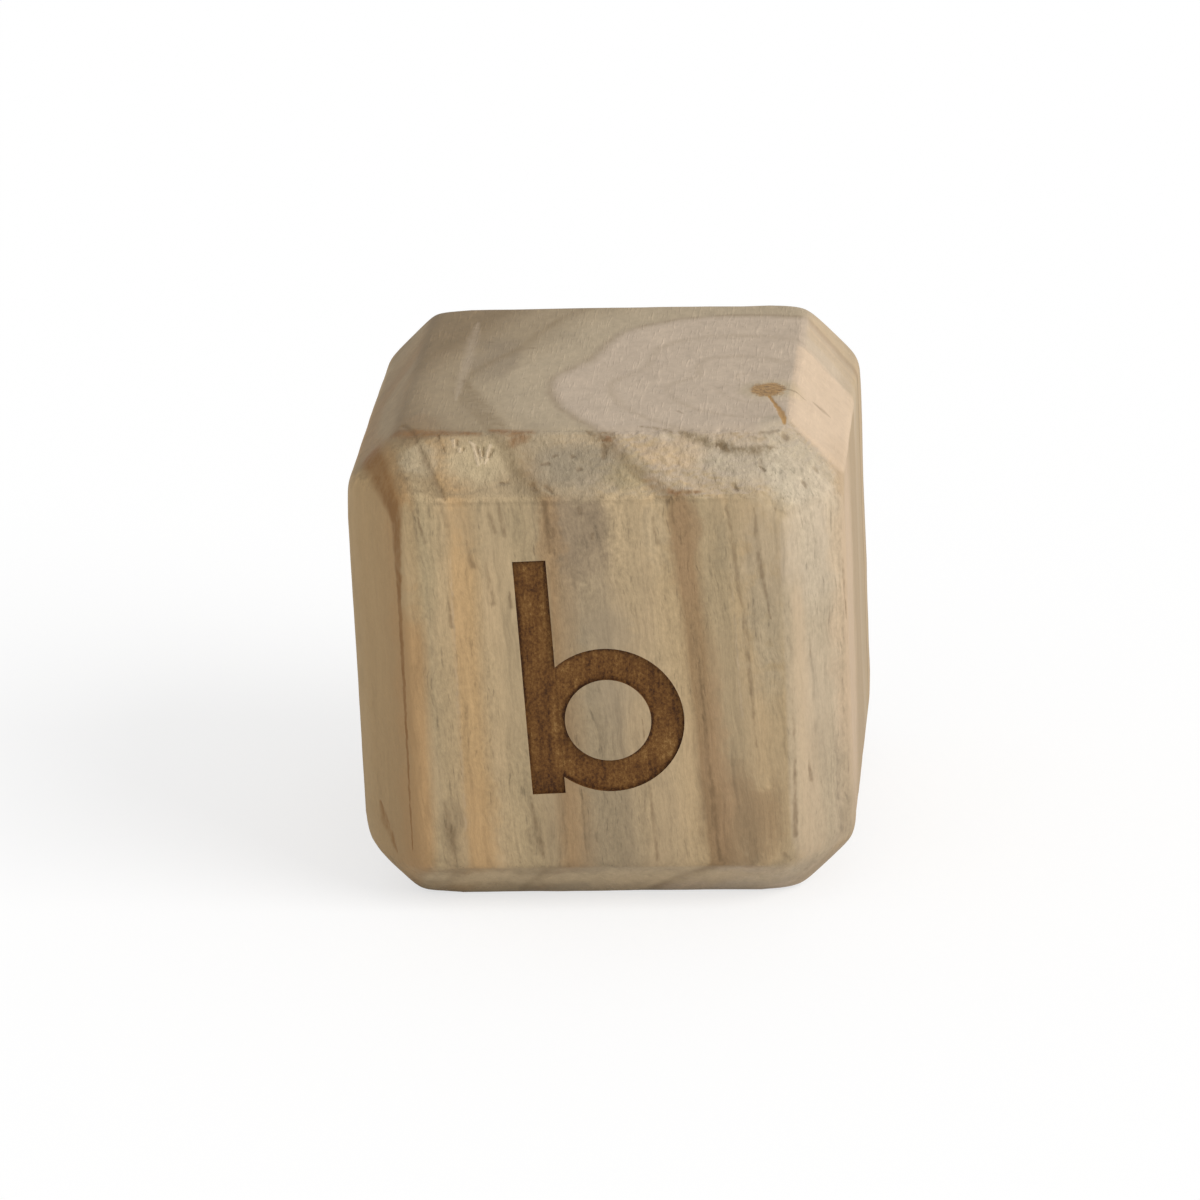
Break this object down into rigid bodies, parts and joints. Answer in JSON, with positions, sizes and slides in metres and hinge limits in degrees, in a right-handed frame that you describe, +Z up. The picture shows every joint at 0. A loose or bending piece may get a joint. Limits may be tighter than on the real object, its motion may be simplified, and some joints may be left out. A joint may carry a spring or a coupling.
{
  "type": "wooden alphabet block",
  "caption": "Solid pine toy cube with bevelled edges, rounded corners and one letter burnt into its front face; it rests on any side.",
  "frame": {"origin": "centre of the bottom face, on the surface that the block stands on", "axes": "+Z up, along the grain of the wood; -Y out of the front face, which holds the letter; +X to the right seen from the front"},
  "size_m": [0.045, 0.045, 0.045],
  "materials": {
    "pine": "bare pine, sanded and unvarnished, with a dark brown burnt letter"
  },
  "bodies": {
    "root": {"block": "pine"}
  },
  "joints": []
}
